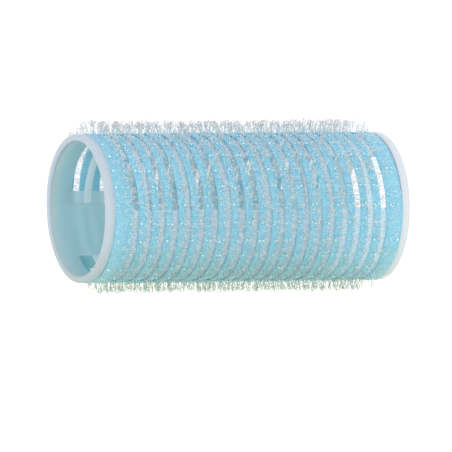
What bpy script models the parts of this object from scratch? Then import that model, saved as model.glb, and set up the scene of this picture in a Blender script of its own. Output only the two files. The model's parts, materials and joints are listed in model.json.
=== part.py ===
"""Self-grip hair roller in the 28 mm colour-code size, lying along X.

Run it with: blender --background --python part.py
Sizes are named in millimetres, and point() turns them into metres.
The origin is the middle of the bore, +X runs along the roller and +Z points up.
Angles around the roller are in degrees, start at +Y and rise towards +Z.
"""
import math

import bmesh
import bpy

MM = 0.001

# Overall sizes
OVERALL_LENGTH = 63.0
BASE_DIAMETER = 28.0        # over the end rings and over the sleeve's ground bands
BORE_DIAMETER = 25.4

# Moulded core: ribs and solid strips around rows of windows
CORE_WALL = 0.65
WINDOW_ROWS = 13
WINDOW_WIDTH = 2.88         # along the axis
RIB_WIDTH = 1.35
WINDOWS_AROUND = 3
POCKET_START = 4.7          # the first window's first edge
LEDGE_BEFORE = 10.3         # a thin web is left at both ends of each opening
OPENING_ANGLE = 46.9
LEDGE_AFTER = 14.7
LEDGE_THICKNESS = 0.3
WALL_STEP = 12.1            # longest flat of the wall, in degrees

# End rings
RING_WIDTH = 1.7
RING_LAP = 0.65             # how far a ring reaches over the core's end
RING_CORNER = 0.4
CORNER_STEPS = 3            # flats in each rounded corner

# Hook sleeve: clear crossing threads, ground bands over them and a pile row on each band
BAND_COUNT = 19             # narrow bands, between the two wide ones at the edges
GAP_WIDTH = 1.15
EDGE_BAND_WIDTH = 3.4
THREAD_THICKNESS = 0.1
THREAD_ANGLE = 1.6
PILE_HEIGHT = 2.4           # from the bands to the hook tips
PILE_SIDES = 24
PILE_FOOT_INSET = 0.05      # from the band's edges to the foot of the pile
PILE_TIP_INSET = 0.3        # from the band's edges to the tips of the pile

# Clearances
FIT = 0.05                  # between neighbouring pieces
THREAD_FIT = 0.03           # above and below the crossing threads

# Shading: edges sharper than this stay crisp
SHARP_EDGE = 35.0


def clear_scene():
    for obj in list(bpy.data.objects):
        bpy.data.objects.remove(obj, do_unlink=True)


def make_material(name, colour, roughness, alpha=1.0):
    material = bpy.data.materials.new(name)
    material.use_nodes = True
    shader = material.node_tree.nodes["Principled BSDF"]
    shader.inputs["Base Color"].default_value = (*colour, 1.0)
    shader.inputs["Roughness"].default_value = roughness
    shader.inputs["Metallic"].default_value = 0.0
    shader.inputs["Alpha"].default_value = alpha
    material.diffuse_color = (*colour, alpha)
    return material


def add_object(name, bm, material):
    """Makes an object of the finished body, with its round faces shaded smooth"""
    bmesh.ops.recalc_face_normals(bm, faces=bm.faces)
    mesh = bpy.data.meshes.new(name)
    bm.to_mesh(mesh)
    bm.free()
    mesh.materials.append(material)
    mesh.shade_smooth()
    mesh.set_sharp_from_angle(angle=math.radians(SHARP_EDGE))
    obj = bpy.data.objects.new(name, mesh)
    bpy.context.scene.collection.objects.link(obj)


def point(x, radius, angle):
    turn = math.radians(angle)
    return (x * MM, radius * math.cos(turn) * MM, radius * math.sin(turn) * MM)


def half_step(angles):
    """Half of the widest step between neighbouring angles"""
    steps = [after - before for before, after in zip(angles, angles[1:] + [angles[0] + 360.0])]
    return max(steps) / 2


def outside_of(radius, angles):
    """The corner radius of a ring whose flat sides just clear a circle of the given radius"""
    return radius / math.cos(math.radians(half_step(angles)))


def cell_body(name, stations, angles, radii, filled, material):
    """Makes one closed body of the filled cells between stations, angles and radii"""
    bm = bmesh.new()
    turns = len(angles)
    corners = {}

    def corner(i, j, k):
        key = (i, j % turns, k)
        if key not in corners:
            corners[key] = bm.verts.new(point(stations[i], radii[k], angles[j % turns]))
        return corners[key]

    def is_solid(i, j, k):
        inside = 0 <= i < len(stations) - 1 and 0 <= k < len(radii) - 1
        return inside and filled(i, j % turns, k)

    def add_face(*places):
        bm.faces.new([corner(*place) for place in places])

    for i in range(len(stations) - 1):
        for j in range(turns):
            for k in range(len(radii) - 1):
                if not is_solid(i, j, k):
                    continue
                for side in (0, 1):
                    step = 2 * side - 1
                    x, a, r = i + side, j + side, k + side
                    if not is_solid(i + step, j, k):
                        add_face((x, j, k), (x, j + 1, k), (x, j + 1, k + 1), (x, j, k + 1))
                    if not is_solid(i, j + step, k):
                        add_face((i, a, k), (i + 1, a, k), (i + 1, a, k + 1), (i, a, k + 1))
                    if not is_solid(i, j, k + step):
                        add_face((i, j, r), (i + 1, j, r), (i + 1, j + 1, r), (i, j + 1, r))
    bmesh.ops.dissolve_limit(bm, angle_limit=math.radians(0.5), verts=bm.verts, edges=bm.edges)
    add_object(name, bm, material)


def turned_ring(name, profile, angles, material):
    """Carries a closed profile of (x, radius) points around the axis"""
    bm = bmesh.new()
    loops = [[bm.verts.new(point(x, radius, angle)) for x, radius in profile]
             for angle in angles]
    for here, there in zip(loops, loops[1:] + loops[:1]):
        for i in range(len(profile)):
            bm.faces.new([here[i - 1], here[i], there[i], there[i - 1]])
    add_object(name, bm, material)


def corner_arc(x, radius, size, start):
    """A rounded corner of a profile: a quarter circle, clockwise from the start angle"""
    turns = [math.radians(start - 90.0 * step / CORNER_STEPS) for step in range(CORNER_STEPS + 1)]
    return [(x + size * math.cos(turn), radius + size * math.sin(turn)) for turn in turns]


def core_columns():
    """The angles that divide the core, and what lies after each of them"""
    columns = []
    for sector in range(WINDOWS_AROUND):
        width = 360.0 / WINDOWS_AROUND
        strip_angle = width - LEDGE_BEFORE - OPENING_ANGLE - LEDGE_AFTER
        start = POCKET_START + sector * width
        for kind, span in (("ledge", LEDGE_BEFORE), ("opening", OPENING_ANGLE),
                           ("ledge", LEDGE_AFTER), ("strip", strip_angle)):
            count = math.ceil(span / WALL_STEP)
            columns += [(start + span * step / count, kind) for step in range(count)]
            start += span
    return columns


def make_core(columns, bore_radius, core_radius, core_end):
    """A tube with rows of windows, each window with a thin web at both ends"""
    pitch = WINDOW_WIDTH + RIB_WIDTH
    first_window = -(WINDOW_ROWS * pitch - RIB_WIDTH) / 2
    stations = [-core_end]
    for row in range(WINDOW_ROWS):
        stations.append(first_window + row * pitch)
        stations.append(first_window + row * pitch + WINDOW_WIDTH)
    stations.append(core_end)

    def filled(i, j, k):
        kind = columns[j][1]
        is_rib = i % 2 == 0
        is_web = kind == "ledge" and k == 1
        return is_rib or kind == "strip" or is_web

    radii = [bore_radius, core_radius - LEDGE_THICKNESS, core_radius]
    angles = [angle for angle, kind in columns]
    material = make_material("milky_polypropylene", (0.62, 0.72, 0.76), 0.38, 0.8)
    cell_body("core_tube", stations, angles, radii, filled, material)


def make_end_rings(angles, bore_radius, core_radius, core_end):
    """Rings flush with the bore and with the bands, stepped to lap over the core's ends"""
    end = OVERALL_LENGTH / 2
    base_radius = BASE_DIAMETER / 2
    corner_x = end - RING_CORNER
    lap_radius = core_radius + FIT
    profile = [(end - RING_WIDTH, base_radius)]
    profile += corner_arc(corner_x, base_radius - RING_CORNER, RING_CORNER, 90.0)
    profile += corner_arc(corner_x, bore_radius + RING_CORNER, RING_CORNER, 0.0)
    profile += [(core_end + FIT, bore_radius), (core_end + FIT, lap_radius),
                (end - RING_WIDTH, lap_radius)]
    material = make_material("ring_polypropylene", (0.70, 0.73, 0.80), 0.32)
    for name, side in (("left_end_ring", -1), ("right_end_ring", 1)):
        turned_ring(name, [(side * x, radius) for x, radius in profile], angles, material)


def make_crossing_threads(angles, inner_radius, half_length):
    """Clear threads along the sleeve, joined by a hoop at each end"""
    divisions = []
    for here, after in zip(angles, angles[1:] + [angles[0] + 360.0]):
        middle = (here + after) / 2
        divisions += [(here, False), (middle - THREAD_ANGLE / 2, True),
                      (middle + THREAD_ANGLE / 2, False)]
    hoop = half_length - EDGE_BAND_WIDTH
    stations = [-half_length, -hoop, hoop, half_length]

    def filled(i, j, k):
        return i != 1 or divisions[j][1]

    radii = [inner_radius, inner_radius + THREAD_THICKNESS]
    material = make_material("clear_thread", (0.75, 0.85, 0.9), 0.2, 0.4)
    cell_body("sleeve_crossing_threads", stations, [angle for angle, is_thread in divisions],
              radii, filled, material)


def band_spans(half_length):
    """Name, start and end of every ground band, from left to right"""
    inner_length = 2 * (half_length - EDGE_BAND_WIDTH) - GAP_WIDTH
    pitch = inner_length / BAND_COUNT
    first = -half_length + EDGE_BAND_WIDTH + GAP_WIDTH
    spans = [("left_edge", -half_length, -half_length + EDGE_BAND_WIDTH)]
    for number in range(BAND_COUNT):
        start = first + number * pitch
        spans.append((f"{number + 1:02d}", start, start + pitch - GAP_WIDTH))
    spans.append(("right_edge", half_length - EDGE_BAND_WIDTH, half_length))
    return spans


def make_bands(spans, angles, inner_radius):
    """The sleeve's blue ground bands, flush with the end rings"""
    material = make_material("blue_ground_bands", (0.28, 0.60, 0.76), 0.7)
    outer_radius = BASE_DIAMETER / 2
    for name, start, stop in spans:
        profile = [(start, inner_radius), (stop, inner_radius),
                   (stop, outer_radius), (start, outer_radius)]
        turned_ring("ground_band_" + name, profile, angles, material)


def make_hook_rows(spans):
    """A ring for the hooks of each band, with a flat side straight below"""
    material = make_material("clear_hooks", (0.80, 0.84, 0.86), 0.2, 0.45)
    angles = [(side + 0.5) * 360.0 / PILE_SIDES for side in range(PILE_SIDES)]
    foot_radius = outside_of(BASE_DIAMETER / 2 + FIT, angles)
    tip_radius = outside_of(BASE_DIAMETER / 2 + PILE_HEIGHT, angles)
    for name, start, stop in spans:
        profile = [(start + PILE_FOOT_INSET, foot_radius), (stop - PILE_FOOT_INSET, foot_radius),
                   (stop - PILE_TIP_INSET, tip_radius), (start + PILE_TIP_INSET, tip_radius)]
        turned_ring("hook_row_" + name, profile, angles, material)


def build():
    columns = core_columns()
    angles = [angle for angle, kind in columns]
    bore_radius = BORE_DIAMETER / 2
    core_radius = bore_radius + CORE_WALL
    ring_face = OVERALL_LENGTH / 2 - RING_WIDTH
    core_end = ring_face + RING_LAP
    make_core(columns, bore_radius, core_radius, core_end)
    make_end_rings(angles, bore_radius, core_radius, core_end)

    half_sleeve = ring_face - FIT
    thread_radius = core_radius + THREAD_FIT
    band_radius = outside_of(thread_radius + THREAD_THICKNESS + THREAD_FIT, angles)
    spans = band_spans(half_sleeve)
    make_crossing_threads(angles, thread_radius, half_sleeve)
    make_bands(spans, angles, band_radius)
    make_hook_rows(spans)


clear_scene()
build()
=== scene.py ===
"""Looks of a self-grip hair roller: a milky windowed core with two end rings, in a sleeve of
light-blue knitted bands, clear crossing threads and clear nylon hooks. Lengths are in metres.
Angles around the roller start at +Y and rise towards +Z, as in the frame.
"""
import json
import math
import random
from types import SimpleNamespace

import bmesh
import bpy
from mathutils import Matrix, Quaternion, Vector

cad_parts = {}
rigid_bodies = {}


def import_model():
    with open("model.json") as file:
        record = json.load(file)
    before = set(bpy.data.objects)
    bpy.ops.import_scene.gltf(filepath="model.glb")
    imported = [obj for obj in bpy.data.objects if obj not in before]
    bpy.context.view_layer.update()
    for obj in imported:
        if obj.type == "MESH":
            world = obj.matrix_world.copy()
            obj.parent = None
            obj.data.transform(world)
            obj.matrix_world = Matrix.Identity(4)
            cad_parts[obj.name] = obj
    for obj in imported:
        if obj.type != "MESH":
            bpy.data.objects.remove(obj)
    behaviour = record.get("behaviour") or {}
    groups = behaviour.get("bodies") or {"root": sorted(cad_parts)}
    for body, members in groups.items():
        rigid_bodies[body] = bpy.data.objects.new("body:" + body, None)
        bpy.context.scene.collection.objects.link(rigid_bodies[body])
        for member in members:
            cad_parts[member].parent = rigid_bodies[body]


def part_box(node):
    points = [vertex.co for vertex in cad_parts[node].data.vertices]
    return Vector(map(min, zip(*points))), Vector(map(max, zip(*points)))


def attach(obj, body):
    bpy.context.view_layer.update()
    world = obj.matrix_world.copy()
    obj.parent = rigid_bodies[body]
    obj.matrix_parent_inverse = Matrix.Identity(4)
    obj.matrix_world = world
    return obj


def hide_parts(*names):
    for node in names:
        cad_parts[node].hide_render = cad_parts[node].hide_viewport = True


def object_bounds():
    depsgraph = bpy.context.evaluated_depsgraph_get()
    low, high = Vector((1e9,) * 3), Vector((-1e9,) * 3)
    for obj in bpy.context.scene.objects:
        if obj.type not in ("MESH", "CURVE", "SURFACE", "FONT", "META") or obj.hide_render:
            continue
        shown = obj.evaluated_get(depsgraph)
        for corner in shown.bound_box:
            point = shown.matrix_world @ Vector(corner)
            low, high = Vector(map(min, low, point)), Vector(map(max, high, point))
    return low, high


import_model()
cad_low, cad_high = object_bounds()
mm = 0.001

# --- Core -------------------------------------------------------------------------------------
# The real core is one thin moulding of milky polypropylene: collars, ribs and three solid strips
# around rows of windows, with a thin web at both ends of each window. The mesh is the filled cells
# of a grid wrapped round the axis, with its edges softened.

bore_radius = 12.7 * mm
core_radius = 13.35 * mm
core_reach = 0.45 * mm  # how far each end goes into its ring
core_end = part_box("core_tube")[1].x + core_reach
web_thickness = 0.3 * mm
window_rows = 13
window_width = 2.88 * mm
rib_width = 1.35 * mm
first_sector = 4.7  # degrees, as are the spans of what each third of the core holds
sector = 120.0
sector_parts = (("web", 10.3, 4), ("opening", 46.9, 16), ("web", 14.7, 5), ("strip", 48.1, 16))


def ring_point(x, radius, angle):
    return (x, radius * math.cos(angle), radius * math.sin(angle))


def core_columns():
    """Angles in radians that divide the core, and what lies after each of them"""
    columns = []
    for number in range(3):
        start = first_sector + sector * number
        for kind, span, count in sector_parts:
            columns += [(math.radians(start + span * step / count), kind)
                        for step in range(count)]
            start += span
    return columns


def core_mesh():
    columns = core_columns()
    stations = [-core_end]
    first = -(window_rows * (window_width + rib_width) - rib_width) / 2
    for row in range(window_rows):
        start = first + row * (window_width + rib_width)
        stations += [start, start + window_width]
    stations.append(core_end)
    radii = [bore_radius, core_radius - web_thickness, core_radius]
    turns = len(columns)

    def solid(i, j, k):
        if not (0 <= i < len(stations) - 1 and 0 <= k < 2):
            return False
        kind = columns[j % turns][1]
        return i % 2 == 0 or kind == "strip" or (kind == "web" and k == 1)

    bm = bmesh.new()
    corners = {}

    def corner(i, j, k):
        key = (i, j % turns, k)
        if key not in corners:
            place = ring_point(stations[i], radii[k], columns[j % turns][0])
            corners[key] = bm.verts.new(place)
        return corners[key]

    for i in range(len(stations) - 1):
        for j in range(turns):
            for k in range(2):
                if not solid(i, j, k):
                    continue
                for side in (0, 1):
                    x, a, r = i + side, j + side, k + side
                    if not solid(i + 2 * side - 1, j, k):
                        bm.faces.new([corner(x, j, k), corner(x, j + 1, k),
                                      corner(x, j + 1, k + 1), corner(x, j, k + 1)])
                    if not solid(i, j + 2 * side - 1, k):
                        bm.faces.new([corner(i, a, k), corner(i + 1, a, k),
                                      corner(i + 1, a, k + 1), corner(i, a, k + 1)])
                    if not solid(i, j, k + 2 * side - 1):
                        bm.faces.new([corner(i, j, r), corner(i + 1, j, r),
                                      corner(i + 1, j + 1, r), corner(i, j + 1, r)])
    bmesh.ops.recalc_face_normals(bm, faces=bm.faces)
    mesh = bpy.data.meshes.new("core")
    bm.to_mesh(mesh)
    bm.free()
    return mesh


def place_piece(name, mesh, material, slot, *nodes):
    """Makes a finished piece of a mesh and puts it in the frame in place of its CAD nodes"""
    piece = bpy.data.objects.new(name, mesh)
    bpy.context.scene.collection.objects.link(piece)
    mesh.materials.clear()
    mesh.materials.append(material)
    mesh.shade_smooth()
    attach(piece, "root")
    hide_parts(*nodes)
    return piece


class Value:
    """A socket in an expression: sums and products on it add their Math nodes"""

    def __init__(self, nodes, socket):
        self.nodes = nodes
        self.socket = socket

    def math(self, operation, *others):
        inputs = dict(enumerate([self, *others]))
        return self.nodes.add("ShaderNodeMath", {"operation": operation}, inputs)

    def __add__(self, other):
        return self.math("ADD", other)

    def __sub__(self, other):
        return self.math("SUBTRACT", other)

    def __mul__(self, other):
        return self.math("MULTIPLY", other)

    def __truediv__(self, other):
        return self.math("DIVIDE", other)

    def __pow__(self, other):
        return self.math("POWER", other)

    def __rsub__(self, other):
        return self.nodes.add("ShaderNodeMath", {"operation": "SUBTRACT"}, {0: other, 1: self})

    __radd__ = __add__
    __rmul__ = __mul__

    def out(self, name):
        return Value(self.nodes, self.socket.node.outputs[name])


class Nodes:
    """Adds nodes to a tree: settings first, then the values or links of the inputs"""

    def __init__(self, tree):
        self.tree = tree

    def add(self, kind, settings=None, inputs=None):
        node = self.tree.nodes.new(kind)
        for name, value in (settings or {}).items():
            setattr(node, name, value)
        for name, value in (inputs or {}).items():
            if isinstance(value, Value):
                self.tree.links.new(value.socket, node.inputs[name])
            else:
                node.inputs[name].default_value = value
        return Value(self, node.outputs[0]) if len(node.outputs) else None

    def noise(self, coords, size, detail=2.0, roughness=0.5):
        """Smooth noise from 0 to 1 with features of the given size in metres"""
        inputs = {"Vector": coords, "Scale": 1.0 / size, "Detail": detail, "Roughness": roughness}
        return self.add("ShaderNodeTexNoise", None, inputs)

    def ease(self, value, start, stop):
        """0 before start, 1 after stop, smooth between"""
        inputs = {0: value, 1: start, 2: stop, 3: 0.0, 4: 1.0}
        return self.add("ShaderNodeMapRange", {"interpolation_type": "SMOOTHSTEP"}, inputs)

    def mix(self, share, first, second):
        """A colour between two others. The node keeps its colour sockets at 6 and 7, out at 2"""
        inputs = {0: share, 6: self.colour(first), 7: self.colour(second)}
        node = self.add("ShaderNodeMix", {"data_type": "RGBA"}, inputs)
        return Value(self, node.socket.node.outputs[2])

    def colour(self, value):
        """A colour for a socket: a link as it is, or three numbers with full opacity"""
        return value if isinstance(value, Value) else (*value, 1.0)

    def bump(self, height, strength, distance):
        """A normal for a surface with these heights"""
        inputs = {"Height": height, "Strength": strength, "Distance": distance}
        return self.add("ShaderNodeBump", None, inputs)


def new_material(name, **constants):
    """A Principled material with its constants set, its nodes maker and its shader"""
    material = bpy.data.materials.new(name)
    material.use_nodes = True
    shader = material.node_tree.nodes["Principled BSDF"]
    for key, value in constants.items():
        shader.inputs[key.replace("_", " ")].default_value = value
    return material, Nodes(material.node_tree), shader


def let_light_through(material, share, colour):
    """Mixes in light that comes through from the other side of a thin wall"""
    nodes = material.node_tree.nodes
    output, front = nodes["Material Output"], nodes["Principled BSDF"]
    through = nodes.new("ShaderNodeBsdfTranslucent")
    through.inputs["Color"].default_value = (*colour, 1.0)
    both = nodes.new("ShaderNodeMixShader")
    both.inputs[0].default_value = share
    links = material.node_tree.links
    links.new(front.outputs[0], both.inputs[1])
    links.new(through.outputs[0], both.inputs[2])
    links.new(both.outputs[0], output.inputs["Surface"])


def feed(nodes, shader, **links):
    """Links what changes over the surface into the shader"""
    for key, value in links.items():
        nodes.tree.links.new(value.socket, shader.inputs[key.replace("_", " ")])


def place_on(nodes):
    """Where the surface is, in object coordinates and as seen from the roller's axis"""
    coords = nodes.add("ShaderNodeTexCoord").out("Object")
    parts = nodes.add("ShaderNodeSeparateXYZ", None, {0: coords})
    along, across, up = parts.out("X"), parts.out("Y"), parts.out("Z")
    return SimpleNamespace(coords=coords, along=along, from_middle=along.math("ABSOLUTE"),
                           angle=up.math("ARCTAN2", across), below=0.0 - up,
                           distance=(across * across + up * up).math("SQRT"))


def milky_core_material():
    """Milky plastic: the sleeve's blue painted in where it shows through the wall, less so in the
    open collars, with painted shade and glow
    """
    material, nodes, shader = new_material("milky_core", IOR=1.49, Emission_Strength=0.3)
    let_light_through(material, 0.45, (0.76, 0.90, 0.92))
    at = place_on(nodes)
    turned = (at.angle * (180 / math.pi) + (360.0 - first_sector)).math("MODULO", sector)
    # Painted light: the bore takes the teal of the blue sleeve seen through the wall, paler towards
    # the collars and much paler beside the windows.
    beside_windows = 1.0 - nodes.ease(turned, 70.0, 74.0)
    beside_windows = beside_windows * (1.0 - nodes.ease(at.from_middle, 26.5 * mm, 27.2 * mm))
    inside = 1.0 - nodes.ease(at.distance, bore_radius + 0.1 * mm, bore_radius + 0.3 * mm)
    rim = nodes.ease(at.from_middle, core_end - 2.6 * mm, core_end + 0.3 * mm)
    flow = nodes.noise(at.coords, 4.0 * mm, 3.0)
    bore_painted_light = nodes.mix(flow, (0.42, 0.65, 0.70), (0.48, 0.69, 0.74))
    bore_painted_light = nodes.mix(rim, bore_painted_light, (0.63, 0.76, 0.78))
    bore_painted_light = nodes.mix(beside_windows * 0.8, bore_painted_light, (0.90, 0.93, 0.95))
    # The backs of the webs get the sleeve's blue painted in as light coming through them, and the
    # lower ones a dark teal painted shade.
    past_bore = nodes.ease(at.distance, bore_radius + 0.25 * mm, bore_radius + 0.33 * mm)
    under_skin = nodes.ease(at.distance, core_radius - 0.2 * mm, core_radius - 0.1 * mm)
    web_back = past_bore * (1.0 - under_skin)
    painted_shade_low_web = web_back * nodes.ease(at.below, 2.0 * mm, 5.0 * mm)
    bare = nodes.mix(flow, (0.75, 0.81, 0.91), (0.83, 0.88, 0.97))
    bare = nodes.mix(web_back, bare, (0.55, 0.73, 0.78))
    bare = nodes.mix(painted_shade_low_web, bare, (0.09, 0.40, 0.43))
    # Painted glow: the core gives off a little light all over and much more on the outside of its
    # right-hand end, though it is no lamp.
    outside = nodes.ease(at.distance, core_radius - 0.1 * mm, core_radius - 0.02 * mm)
    bright_end = outside * nodes.ease(at.along, 13.0 * mm, 21.0 * mm)
    glow = nodes.mix(bright_end, (0.15, 0.18, 0.18), (0.92, 0.99, 1.0))
    feed(nodes, shader, Base_Color=nodes.mix(inside, bare, bore_painted_light), Emission_Color=glow,
         Roughness=0.3 + 0.18 * nodes.noise(at.coords, 1.1 * mm),
         Normal=nodes.bump(nodes.noise(at.coords, 0.5 * mm, 3.0), 0.35, 0.02 * mm))
    return material


def apply_modifiers(mesh, *settings):
    """A copy of the mesh with its modifiers applied, each given as (type, its settings)"""
    maker = bpy.data.objects.new("maker", mesh)
    bpy.context.scene.collection.objects.link(maker)
    for kind, values in settings:
        modifier = maker.modifiers.new(kind.lower(), kind)
        for name, value in values.items():
            setattr(modifier, name, value)
    graph = bpy.context.evaluated_depsgraph_get()
    made = bpy.data.meshes.new_from_object(maker.evaluated_get(graph))
    bpy.data.objects.remove(maker)
    return made


soft_edges = {"width": 0.1 * mm, "segments": 2, "limit_method": "ANGLE",
              "angle_limit": math.radians(40), "use_clamp_overlap": True}
place_piece("core", apply_modifiers(core_mesh(), ("BEVEL", soft_edges)),
            milky_core_material(), "core", "core_tube")

# --- End rings --------------------------------------------------------------------------------
# Two moulded rings of the same plastic, fused over the core's ends to close the sleeve. Each is a
# profile with well-rounded rims carried round the axis, with the slight waviness of a fused edge.

base_radius = 14.0 * mm
ring_width = 1.7 * mm
ring_outer_corner = 0.55 * mm
ring_inner_corner = 0.45 * mm
ring_lap = 0.7 * mm
ring_clearance = 0.05 * mm  # over the core, inside the lap
ring_chamfer = 0.1 * mm
ring_steps = 180
corner_points = 6
ring_leans = {-1: 0.3 * mm, 1: 0.1 * mm}  # of the left and the right ring
face_back = 0.06 * mm  # keeps the waves of the fused face inside the length


def ring_profile(end):
    """Points of (x, radius) for the right-hand ring"""
    start = end - ring_width
    points = [(start, core_radius + ring_clearance), (start, base_radius - ring_chamfer),
              (start + ring_chamfer, base_radius)]
    for step in range(corner_points):
        turn = math.radians(90 - 90 * step / (corner_points - 1))
        points.append((end - ring_outer_corner + ring_outer_corner * math.cos(turn),
                       base_radius - ring_outer_corner + ring_outer_corner * math.sin(turn)))
    for step in range(corner_points):
        turn = math.radians(-90 * step / (corner_points - 1))
        points.append((end - ring_inner_corner + ring_inner_corner * math.cos(turn),
                       bore_radius + ring_inner_corner + ring_inner_corner * math.sin(turn)))
    lap_face = start + ring_lap
    points += [(lap_face, bore_radius + 0.03 * mm), (lap_face, core_radius + ring_clearance)]
    return points


def ring_mesh(side):
    end = cad_high.x
    bm = bmesh.new()
    loops = []
    for step in range(ring_steps):
        angle = 2 * math.pi * step / ring_steps
        lean = -ring_leans[side] * math.sin(angle)
        wave = 0.05 * mm * math.sin(3 * angle + side) + 0.03 * mm * math.sin(7 * angle + 2 * side)
        loop = []
        for x, radius in ring_profile(end):
            outer = max(0.0, (x - end + ring_width) / ring_width)
            place = side * (x - face_back + wave * outer * 0.6) + lean
            loop.append(bm.verts.new(ring_point(place, radius, angle)))
        loops.append(loop)
    for here, there in zip(loops, loops[1:] + loops[:1]):
        for i in range(len(here)):
            bm.faces.new([here[i - 1], here[i], there[i], there[i - 1]])
    bmesh.ops.recalc_face_normals(bm, faces=bm.faces)
    mesh = bpy.data.meshes.new("end_ring")
    bm.to_mesh(mesh)
    bm.free()
    return mesh


def ring_material():
    """Thicker milky plastic, so whiter and a touch lavender, with faint flow marks; painted shade
    underneath, painted light on the right-hand ring and the sleeve's blue painted on beside it
    """
    material, nodes, shader = new_material("milky_ring", IOR=1.49)
    let_light_through(material, 0.3, (0.62, 0.72, 0.82))
    at = place_on(nodes)
    cloud = nodes.noise(at.coords, 3.0 * mm, 4.0)
    # Painted light: the sleeve's blue is painted onto the edge of the ring beside it.
    sleeve_edge = cad_high.x - ring_width
    sleeve_side = 1.0 - nodes.ease(at.from_middle, sleeve_edge, sleeve_edge + 0.6 * mm)
    plain = nodes.mix(cloud, (0.55, 0.63, 0.72), (0.64, 0.70, 0.78))
    # Painted shade: the ring turns greyer and greener underneath.
    underneath = nodes.ease(at.below, 4.0 * mm, 13.0 * mm)
    plain = nodes.mix(underneath * 0.7, plain, (0.52, 0.58, 0.58))
    # Painted light: the right-hand ring is painted whiter, with less of the sleeve's blue beside
    # it.
    right_end = nodes.ease(at.along, 0.0, 1.0 * mm)
    plain = nodes.mix(right_end * 0.7, plain, (0.90, 0.90, 0.94))
    painted_sleeve_blue = sleeve_side * (0.4 - 0.3 * right_end)
    feed(nodes, shader, Base_Color=nodes.mix(painted_sleeve_blue, plain, (0.42, 0.68, 0.80)),
         Roughness=0.28 + 0.2 * nodes.noise(at.coords, 0.8 * mm),
         Normal=nodes.bump(nodes.noise(at.coords, 0.6 * mm, 3.0), 0.4, 0.03 * mm))
    return material


milky_ring = ring_material()
for name, side in (("left_end_ring", -1), ("right_end_ring", 1)):
    place_piece(name + "_moulding", ring_mesh(side), milky_ring, "end_rings", name)

# --- Crossing threads -------------------------------------------------------------------------
# Fine clear nylon threads run the length of the sleeve under the bands and bridge the open gaps.
# Geometry Nodes sets a wavy line at nearly even steps round the axis and sweeps a small round along
# each of them.

sleeve_end = cad_high.x - ring_width - 0.1 * mm
thread_count = 300
thread_radius = 13.45 * mm
thread_thickness = 0.1 * mm
thread_waviness = 0.12 * mm
thread_points = 56


class GeometryTree(Nodes):
    """A Geometry Nodes tree with named inputs, which ends in Realize Instances and Set Material"""

    def __init__(self, name, inputs):
        super().__init__(bpy.data.node_groups.new(name, "GeometryNodeTree"))
        kinds = {float: "NodeSocketFloat", int: "NodeSocketInt"}
        face = self.tree.interface
        face.new_socket(name="Geometry", in_out="OUTPUT", socket_type="NodeSocketGeometry")
        self.identifiers = {}
        for key, kind in inputs.items():
            made = face.new_socket(name=key, in_out="INPUT", socket_type=kinds.get(kind, kind))
            self.identifiers[key] = made.identifier
        self.entry = self.tree.nodes.new("NodeGroupInput")

    def input(self, name):
        return Value(self, self.entry.outputs[name])

    def random(self, low, high, index, seed):
        """A random number for each index. The node keeps its float sockets at 2 and 3, out at 1"""
        node = self.add("FunctionNodeRandomValue", {"data_type": "FLOAT"},
                        {2: low, 3: high, 7: index, 8: seed})
        return Value(self, node.socket.node.outputs[1])

    def finish(self, geometry, material):
        real = self.add("GeometryNodeRealizeInstances", None, {"Geometry": geometry})
        made = self.add("GeometryNodeSetMaterial", None, {"Geometry": real, "Material": material})
        self.add("NodeGroupOutput", None, {"Geometry": made})

    def run(self, **values):
        """The plain mesh that the tree makes with these inputs"""
        maker = bpy.data.objects.new("maker", bpy.data.meshes.new("maker"))
        bpy.context.scene.collection.objects.link(maker)
        modifier = maker.modifiers.new("nodes", "NODES")
        modifier.node_group = self.tree
        for key, value in values.items():
            modifier[self.identifiers[key]] = value
        graph = bpy.context.evaluated_depsgraph_get()
        made = bpy.data.meshes.new_from_object(maker.evaluated_get(graph))
        maker.modifiers.remove(modifier)
        bpy.data.objects.remove(maker)
        return made


def nylon_material(name, colour, alpha, roughness):
    """Drawn nylon: glossy, slightly uneven, and see-through where its alpha is low"""
    material, nodes, shader = new_material(name, IOR=1.53, Alpha=alpha)
    coords = nodes.add("ShaderNodeTexCoord").out("Object")
    patch = nodes.noise(coords, 1.3 * mm)
    darker = tuple(0.8 * part for part in colour)
    feed(nodes, shader, Base_Color=nodes.mix(patch, darker, colour),
         Roughness=roughness + 0.12 * nodes.noise(coords, 0.4 * mm))
    return material


thread_material = nylon_material("clear_threads", (0.84, 0.91, 0.98), 0.38, 0.25)
let_light_through(thread_material, 0.25, (0.88, 0.94, 1.0))


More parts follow.
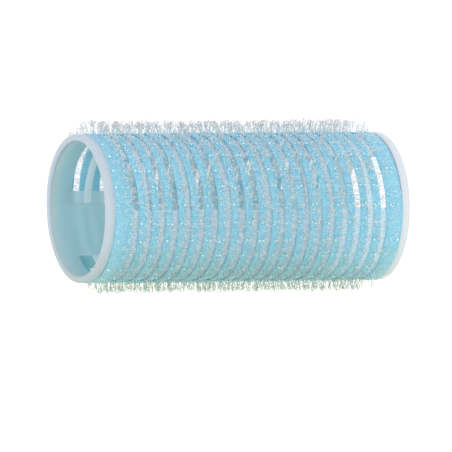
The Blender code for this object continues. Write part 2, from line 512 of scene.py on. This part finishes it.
def thread_tree():
    tree = GeometryTree("Crossing threads", {"Count": int, "Radius": float, "Half length": float,
                                             "Thickness": float, "Waviness": float, "Seed": int})
    half = tree.input("Half length")
    start = tree.add("ShaderNodeCombineXYZ", None, {0: 0.0 - half})
    stop = tree.add("ShaderNodeCombineXYZ", None, {0: half})
    line = tree.add("GeometryNodeCurvePrimitiveLine", None, {"Start": start, "End": stop})
    line = tree.add("GeometryNodeResampleCurve", None, {"Curve": line, "Count": thread_points})
    points = tree.add("GeometryNodePoints", None, {"Count": tree.input("Count")})
    index = tree.add("GeometryNodeInputIndex")
    jitter = tree.random(-0.25, 0.25, index, tree.input("Seed"))
    angle = (index + jitter) * (2 * math.pi) / tree.input("Count")
    radius = tree.input("Radius")
    place = tree.add("ShaderNodeCombineXYZ", None, {1: radius * angle.math("COSINE"),
                                                    2: radius * angle.math("SINE")})
    points = tree.add("GeometryNodeSetPosition", None, {"Geometry": points, "Position": place})
    lines = tree.add("GeometryNodeInstanceOnPoints", None, {"Points": points, "Instance": line})
    lines = tree.add("GeometryNodeRealizeInstances", None, {"Geometry": lines})
    position = tree.add("GeometryNodeInputPosition")
    wobble = tree.add("ShaderNodeTexNoise", None, {"Vector": position, "Scale": 900.0})
    centred = tree.add("ShaderNodeVectorMath", {"operation": "SUBTRACT"},
                       {0: wobble.out("Color"), 1: (0.5, 0.5, 0.5)})
    offset = tree.add("ShaderNodeVectorMath", {"operation": "SCALE"},
                      {0: centred, "Scale": tree.input("Waviness")})
    lines = tree.add("GeometryNodeSetPosition", None, {"Geometry": lines, "Offset": offset})
    profile = tree.add("GeometryNodeCurvePrimitiveCircle", {"mode": "RADIUS"},
                       {"Resolution": 4, "Radius": tree.input("Thickness") * 0.5})
    swept = tree.add("GeometryNodeCurveToMesh", None, {"Curve": lines, "Profile Curve": profile,
                                                       "Fill Caps": True})
    tree.finish(swept, thread_material)
    return tree


threads = thread_tree().run(**{"Count": thread_count, "Radius": thread_radius,
                               "Half length": sleeve_end, "Thickness": thread_thickness,
                               "Waviness": thread_waviness, "Seed": 3})
crossing_threads = place_piece("crossing_threads", threads, thread_material, "clear_thread",
                               "sleeve_crossing_threads")

# --- Ground bands -----------------------------------------------------------------------------
# The sleeve's cloth: light-blue nylon knitted in bands that run round the roller, two wide ones at
# the edges and nineteen narrow ones between open gaps. Each band is a flat closed ribbon wrapped
# round the axis, with its edges drawn in and let out by the stitches.

band_names = ["left_edge"] + [f"{number:02d}" for number in range(1, 20)] + ["right_edge"]
band_inner = 13.58 * mm
stitch_count = 150
ring_tuck = 0.12 * mm  # how far the edge bands go into the rings
band_sway = 0.12 * mm
skew = 0.035  # slope of the bands from top to bottom
pull = 0.25 * mm  # along the axis, most at the pull angle and least opposite it
pull_angle = 5.2
slide = 0.3 * mm  # of a band at the middle, before the two terms that vary along the roller
slide_slope = 0.006
middle_slide = 0.5 * mm
middle_reach = 10 * mm
middle_place = 2 * mm
loop_length = 0.8 * mm


def drift_at(x):
    """How far a band has slid towards the right-hand end, most of all near the middle"""
    bulge = math.exp(-((x - middle_place) / middle_reach) ** 2)
    return slide - slide_slope * x + middle_slide * bulge


def lean_at(angle):
    """How far the cloth is pulled along the axis at an angle round it"""
    skewed = angle.math("SINE") * (-skew * base_radius)
    return skewed + (angle - pull_angle).math("COSINE") * pull


def bands_tree():
    tree = GeometryTree("Knitted band", {"Start": float, "Stop": float, "Stitches": int,
                                         "Inner radius": float, "Outer radius": float, "Seed": int})
    grid = tree.add("GeometryNodeMeshGrid", None,
                    {"Size X": 1.0, "Size Y": 1.0, "Vertices X": 11, "Vertices Y": 401})
    position = tree.add("GeometryNodeInputPosition")
    parts = tree.add("ShaderNodeSeparateXYZ", None, {0: position})
    section = (parts.out("X") + 0.5) * (2 * math.pi)
    turn = (parts.out("Y") + 0.5) * (2 * math.pi)

    def squared(wave):
        """Flattens a sine, so that the section is a ribbon with round edges"""
        return wave.math("SIGN") * wave.math("ABSOLUTE") ** 0.45

    aside = squared(section.math("COSINE"))
    height = squared(section.math("SINE"))
    ring = tree.add("ShaderNodeCombineXYZ", None, {0: turn.math("COSINE") * 3.0,
                                                   1: turn.math("SINE") * 3.0,
                                                   2: tree.input("Seed") * 1.7 + aside * 0.8})
    uneven = tree.add("ShaderNodeTexNoise", None, {"Vector": ring, "Scale": 2.2, "Detail": 3.0})
    path = tree.add("ShaderNodeCombineXYZ", None, {0: turn.math("COSINE") * 1.5,
                                                   1: turn.math("SINE") * 1.5,
                                                   2: tree.input("Seed") * 0.6})
    sway = tree.add("ShaderNodeTexNoise", None, {"Vector": path, "Scale": 1.5, "Detail": 1.0})
    stitch = (turn * tree.input("Stitches")).math("SINE")
    start, stop = tree.input("Start"), tree.input("Stop")
    middle, half = (start + stop) * 0.5, (stop - start) * 0.5
    scallop = 1.0 + 0.05 * stitch + 0.22 * (uneven - 0.5)
    lean = lean_at(turn) + band_sway * (sway - 0.5)
    along = middle + aside * half * scallop + lean
    inner, outer = tree.input("Inner radius"), tree.input("Outer radius")
    crown = (outer - inner) * 0.5
    distance = (inner + outer) * 0.5 + height * crown * (0.92 + 0.06 * stitch)
    place = tree.add("ShaderNodeCombineXYZ", None, {0: along, 1: distance * turn.math("COSINE"),
                                                    2: distance * turn.math("SINE")})
    band = tree.add("GeometryNodeSetPosition", None, {"Geometry": grid, "Position": place})
    band = tree.add("GeometryNodeMergeByDistance", None, {"Geometry": band, "Distance": 1e-7})
    tree.finish(band, band_material)
    return tree


def knitted_material():
    """Light-blue knit: rows of small loops, a silky sheen and uneven dye, with painted glints,
    painted shade underneath and on the inner face, and painted light at the very bottom
    """
    material, nodes, shader = new_material("knitted_blue", Sheen_Weight=0.15, IOR=1.45)
    let_light_through(material, 0.45, (0.40, 0.84, 1.0))
    at = place_on(nodes)
    wave = (at.along * (2 * math.pi / loop_length)).math("SINE") * 1.1
    loops = (at.angle * stitch_count + wave).math("SINE") * 0.5 + 0.5
    mottle = nodes.noise(at.coords, 0.6 * mm, 3.0, 0.6)
    # Painted glints: small bright cyan specks over the cloth.
    glint = nodes.ease(nodes.noise(at.coords, 0.42 * mm, 1.0), 0.53, 0.61)
    cloud = nodes.noise(at.coords, 5.0 * mm)
    light = nodes.mix(cloud, (0.42, 0.76, 0.91), (0.47, 0.80, 0.94))
    dark = (0.32, 0.67, 0.84)
    shade = nodes.ease(loops * 0.4 + mottle * 0.8, 0.25, 0.85)
    # Painted shade: the inner face of the cloth is a darker, greener blue.
    outside = nodes.ease(at.distance, band_inner + 0.1 * mm, band_inner + 0.25 * mm)
    # Painted shade: greener and duller underneath; painted light from below: lighter and greener at
    # the very bottom.
    underneath = nodes.ease(at.below, 4.0 * mm, 14.0 * mm)
    painted_light_lowest = nodes.ease(at.below, 10.0 * mm, 14.0 * mm)
    knit = nodes.mix(underneath * 0.75, nodes.mix(shade, dark, light), (0.42, 0.72, 0.68))
    knit = nodes.mix(painted_light_lowest * 0.7, knit, (0.64, 0.84, 0.77))
    knit = nodes.mix(glint * 0.6, knit, (0.78, 0.96, 1.0))
    feed(nodes, shader,
         Base_Color=nodes.mix(outside, (0.36, 0.70, 0.74), knit),
         Roughness=0.5 + 0.2 * mottle,
         Normal=nodes.bump((loops * 0.6 + mottle) * outside, 0.6, 0.06 * mm))
    return material


def joined(name, meshes):
    """One mesh of several"""
    bm = bmesh.new()
    for mesh in meshes:
        bm.from_mesh(mesh)
        bpy.data.meshes.remove(mesh)
    made = bpy.data.meshes.new(name)
    bm.to_mesh(made)
    bm.free()
    return made


band_material = knitted_material()
band_tree = bands_tree()
band_meshes = []
band_spans = []
for number, name in enumerate(band_names):
    low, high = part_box("ground_band_" + name)
    start, stop = low.x + drift_at(low.x), high.x + drift_at(high.x)
    if name == "left_edge":
        start = low.x - ring_tuck
    elif name == "right_edge":
        stop = high.x + ring_tuck
    band_spans.append((start, stop))
    band_meshes.append(band_tree.run(**{"Start": start, "Stop": stop, "Stitches": stitch_count,
                                        "Inner radius": band_inner, "Outer radius": base_radius,
                                        "Seed": number}))
sleeve_cloth = place_piece("sleeve_cloth", joined("sleeve_cloth", band_meshes), band_material,
                           "ground_bands", *["ground_band_" + name for name in band_names])
sleeve_round = 2 * math.pi * base_radius
cut_area = sum(stop - start for start, stop in band_spans) * sleeve_round

# --- Hooks ------------------------------------------------------------------------------------
# The pile: curly hooks of clear nylon monofilament, knitted into the bands and cut at the tips so
# that they catch the hair. Geometry Nodes scatters a few bent shapes over each band.

wire = 0.19 * mm
hook_height = 2.7 * mm
hook_shape_count = 8
hook_steps = 7
hook_area = 0.878 * mm * mm  # of cloth for each hook
clump_size = 3.5 * mm  # of patches with longer or shorter hooks
bare_left, bare_right = 1.9 * mm, 2.6 * mm  # of the edge bands, beside the rings


def hook_mesh(number):
    """A bent filament: a short stem that curls over into an open loop"""
    chance = random.Random(number)
    curl = chance.uniform(0.36, 0.68) * mm
    lean = chance.uniform(-0.25, 0.25) * mm
    stop = math.radians(chance.uniform(-170.0, -50.0))
    top = hook_height - wire / 2
    path = [Vector((lean * 0.2, 0, -0.1 * mm)), Vector((lean * 0.6, 0, (top - curl) * 0.5))]
    for step in range(hook_steps):
        turn = math.pi + (stop - math.pi) * step / (hook_steps - 1)
        sway = chance.uniform(-0.05, 0.05) * mm + 0.1 * mm * step / hook_steps
        path.append(Vector((lean + curl + curl * math.cos(turn), sway,
                            top - curl + curl * math.sin(turn))))
    bm = bmesh.new()
    loops = []
    for i, here in enumerate(path):
        heading = (path[min(i + 1, len(path) - 1)] - path[max(i - 1, 0)]).normalized()
        side = heading.cross(Vector((0, 1, 0))).normalized()
        up = side.cross(heading)
        loops.append([bm.verts.new(here + (side * math.cos(t) + up * math.sin(t)) * wire / 2)
                      for t in (0.0, math.pi / 2, math.pi, 3 * math.pi / 2)])
    for here, there in zip(loops, loops[1:]):
        for i in range(4):
            bm.faces.new([here[i - 1], here[i], there[i], there[i - 1]])
    bm.faces.new(loops[0])
    bm.faces.new(loops[-1])
    bmesh.ops.recalc_face_normals(bm, faces=bm.faces)
    mesh = bpy.data.meshes.new(f"hook_{number}")
    bm.to_mesh(mesh)
    bm.free()
    mesh.shade_smooth()
    return mesh


def hook_nylon():
    """Clear nylon, with the cloth's blue painted in close to it as light coming through, and a
    painted green shade underneath
    """
    material, nodes, shader = new_material("clear_hooks", IOR=1.53, Alpha=0.37)
    at = place_on(nodes)
    patch = nodes.noise(at.coords, 1.3 * mm)
    clear = nodes.mix(patch, (0.50, 0.51, 0.54), (0.88, 0.90, 0.93))
    # Painted light: the cloth's blue seen through the nylon near its roots.
    painted_cloth_blue = 1.0 - nodes.ease(at.distance, base_radius + 0.3 * mm, base_radius + 1.7 * mm)
    clear = nodes.mix(painted_cloth_blue, clear, (0.66, 0.90, 0.99))
    # Painted shade: the hooks turn darker and greener underneath.
    shaded = nodes.mix(patch, (0.29, 0.40, 0.36), (0.66, 0.80, 0.75))
    underneath = nodes.ease(at.below, 6.0 * mm, 13.0 * mm)
    feed(nodes, shader, Base_Color=nodes.mix(underneath, clear, shaded),
         Roughness=0.12 + 0.12 * nodes.noise(at.coords, 0.4 * mm))
    return material


hook_material = hook_nylon()
hook_shapes = bpy.data.collections.new("hook_shapes")
for number in range(hook_shape_count):
    hook_shapes.objects.link(bpy.data.objects.new(f"hook_{number}", hook_mesh(number)))


def pile_tree():
    tree = GeometryTree("Hook row", {"Start": float, "Stop": float, "Count": int, "Radius": float,
                                     "Seed": int, "Shapes": "NodeSocketCollection"})
    seed = tree.input("Seed")
    index = tree.add("GeometryNodeInputIndex")
    count = tree.input("Count")
    angle = (index + tree.random(-0.45, 0.45, index, seed)) * (2 * math.pi) / count
    share = tree.random(0.12, 0.88, index, seed + 1)
    start, stop = tree.input("Start"), tree.input("Stop")
    radius = tree.input("Radius")
    lean = lean_at(angle)
    place = tree.add("ShaderNodeCombineXYZ", None, {0: start + (stop - start) * share + lean,
                                                    1: radius * angle.math("COSINE"),
                                                    2: radius * angle.math("SINE")})
    points = tree.add("GeometryNodePoints", None, {"Count": count, "Position": place})
    outward = tree.add("ShaderNodeCombineXYZ", None, {0: angle - math.pi / 2})
    outward = tree.add("FunctionNodeEulerToRotation", None, {0: outward})
    spin = tree.add("ShaderNodeCombineXYZ", None, {0: tree.random(-0.3, 0.3, index, seed + 2),
                                                   1: tree.random(-0.3, 0.3, index, seed + 3),
                                                   2: tree.random(0.0, 6.28, index, seed + 4)})
    spin = tree.add("FunctionNodeEulerToRotation", None, {0: spin})
    turned = tree.add("FunctionNodeRotateRotation", {"rotation_space": "LOCAL"},
                      {0: outward, 1: spin})
    shapes = tree.add("GeometryNodeCollectionInfo", None,
                      {"Collection": tree.input("Shapes"), "Separate Children": True,
                       "Reset Children": True})
    underneath = (0.0 - angle.math("SINE")).math("MAXIMUM", 0.0)
    clump = tree.add("ShaderNodeTexNoise", None, {"Vector": place, "Scale": 1.0 / clump_size})
    size = tree.random(0.82, 0.98, index, seed + 5) + 0.35 * (clump - 0.5)
    size = size * (1.0 - 0.2 * underneath)
    scale = tree.add("ShaderNodeCombineXYZ", None, {0: size, 1: size, 2: size})
    hooks = tree.add("GeometryNodeInstanceOnPoints", None,
                     {"Points": points, "Instance": shapes, "Pick Instance": True,
                      "Rotation": turned, "Scale": scale})
    tree.finish(hooks, hook_material)
    return tree


hook_tree = pile_tree()
pile_spans = list(band_spans)
pile_spans[0] = (band_spans[0][0] + bare_left, band_spans[0][1])
pile_spans[-1] = (band_spans[-1][0], band_spans[-1][1] - bare_right)
groups = (("left", band_names[:7]), ("middle", band_names[7:14]), ("right", band_names[14:]))
for group, names in groups:
    rows = []
    for name in names:
        number = band_names.index(name)
        start, stop = pile_spans[number]
        count = round(sleeve_round * (stop - start) / hook_area)
        rows.append(hook_tree.run(**{"Start": start, "Stop": stop, "Count": count,
                                     "Radius": base_radius, "Seed": 100 * number,
                                     "Shapes": hook_shapes}))
    place_piece("hooks_" + group, joined("hooks_" + group, rows), hook_material, "hooks",
                *["hook_row_" + name for name in names])
for shape in list(hook_shapes.objects):
    bpy.data.objects.remove(shape)
bpy.data.collections.remove(hook_shapes)

# --- Knots ------------------------------------------------------------------------------------
# Where the hook yarn is tied into the bands it leaves small knots, which line up in rows along the
# roller;
# their pale cyan-white is a painted highlight for the rows of glints.
# Geometry Nodes sets two of them across each band in every row.

knot_rows = 26
knot_size = 0.23 * mm
knot_height = 0.2 * mm  # of the middle of a knot, over the cloth


def knot_mesh():
    """A small flattened ball"""
    bm = bmesh.new()
    bmesh.ops.create_uvsphere(bm, u_segments=6, v_segments=4, radius=knot_size)
    for vert in bm.verts:
        vert.co.z *= 0.6
    mesh = bpy.data.meshes.new("knot")
    bm.to_mesh(mesh)
    bm.free()
    return mesh


def knots_tree():
    tree = GeometryTree("Knot rows", {"Start": float, "Stop": float, "Rows": int, "Radius": float,
                                      "Seed": int, "Knot": "NodeSocketObject"})
    seed = tree.input("Seed")
    index = tree.add("GeometryNodeInputIndex")
    rows = tree.input("Rows")
    row = (index / 2.0).math("FLOOR")
    across = index - row * 2.0
    wobble = tree.random(-0.06, 0.06, index, seed)
    angle = (row + wobble + 0.9) * (2 * math.pi) / rows
    share = 0.25 + 0.5 * across + tree.random(-0.1, 0.1, index, seed + 1)
    start, stop = tree.input("Start"), tree.input("Stop")
    lean = lean_at(angle)
    radius = tree.input("Radius")
    place = tree.add("ShaderNodeCombineXYZ", None, {0: start + (stop - start) * share + lean,
                                                    1: radius * angle.math("COSINE"),
                                                    2: radius * angle.math("SINE")})
    points = tree.add("GeometryNodePoints", None, {"Count": rows * 2.0, "Position": place})
    outward = tree.add("ShaderNodeCombineXYZ", None, {0: angle - math.pi / 2})
    outward = tree.add("FunctionNodeEulerToRotation", None, {0: outward})
    knot = tree.add("GeometryNodeObjectInfo", None, {"Object": tree.input("Knot")})
    size = tree.random(0.5, 1.2, index, seed + 2)
    scale = tree.add("ShaderNodeCombineXYZ", None, {0: size, 1: size, 2: size})
    knots = tree.add("GeometryNodeInstanceOnPoints", None,
                     {"Points": points, "Instance": knot.out("Geometry"), "Rotation": outward,
                      "Scale": scale})
    tree.finish(knots, glint_knot_material)
    return tree


# Painted highlight: the knots are a bright pale cyan-white, for the glints in rows along the bands.
glint_knot_material = nylon_material("nylon_knots", (0.74, 0.96, 1.0), 1.0, 0.1)
knot = bpy.data.objects.new("knot", knot_mesh())
bpy.context.scene.collection.objects.link(knot)
knot_tree = knots_tree()
knot_meshes = [knot_tree.run(**{"Start": start, "Stop": stop, "Rows": knot_rows,
                                "Radius": base_radius + knot_height, "Seed": 7 * number,
                                "Knot": knot})
               for number, (start, stop) in enumerate(band_spans)]
bpy.data.objects.remove(knot)
place_piece("nylon_knots", joined("nylon_knots", knot_meshes), glint_knot_material, "hooks")

# --- Floor, light and camera ------------------------------------------------------------------
# A plain white floor, an even white surround, one soft lamp and a long lens from the left.


def make_floor():
    bm = bmesh.new()
    bmesh.ops.create_grid(bm, x_segments=2, y_segments=2, size=20.0)
    bmesh.ops.translate(bm, vec=(0, 0, cad_low.z), verts=bm.verts)
    mesh = bpy.data.meshes.new("floor")
    bm.to_mesh(mesh)
    bm.free()
    floor = bpy.data.objects.new("floor", mesh)
    bpy.context.scene.collection.objects.link(floor)
    material = new_material("floor_white", Roughness=0.9, Base_Color=(0.45, 0.45, 0.43, 1.0),
                            Emission_Color=(0.70, 0.71, 0.62, 1.0), Emission_Strength=1.0)[0]
    mesh.materials.append(material)


def make_surround(strength):
    world = bpy.data.worlds.new("white_surround")
    world.use_nodes = True
    background = world.node_tree.nodes["Background"]
    background.inputs["Color"].default_value = (1.0, 1.0, 1.0, 1.0)
    background.inputs["Strength"].default_value = strength
    bpy.context.scene.world = world


def aimed(thing, place, heading):
    """Puts a lamp or camera in the scene, looking along the heading"""
    thing.location = place
    thing.rotation_mode = "QUATERNION"
    thing.rotation_quaternion = heading.to_track_quat("-Z", "Y")
    bpy.context.scene.collection.objects.link(thing)
    return thing


def make_lamp(place, size, power):
    """A round soft lamp aimed at the roller"""
    data = bpy.data.lights.new("key", "AREA")
    data.shape = "DISK"
    data.size = size
    data.energy = power
    aimed(bpy.data.objects.new("key", data), place, -place)


def make_camera(azimuth, distance, target, lens, roll):
    """Looks level at the target from an azimuth that is 0 in front, tipped by the roll"""
    back = Vector((math.sin(azimuth), -math.cos(azimuth), 0.0))
    data = bpy.data.cameras.new("camera")
    data.lens = lens
    camera = aimed(bpy.data.objects.new("camera", data), target + back * distance, -back)
    camera.rotation_quaternion = camera.rotation_quaternion @ Quaternion((0.0, 0.0, 1.0), roll)
    bpy.context.scene.camera = camera


make_floor()
make_surround(1.13)
make_lamp(Vector((-0.35, -0.55, 0.15)), size=0.06, power=0.5)
make_camera(math.radians(-25.07), 2.5, Vector((-0.52 * mm, 0.0, -3.54 * mm)), lens=1057.6,
            roll=math.radians(-0.6))
bpy.context.scene.view_settings.view_transform = "Standard"
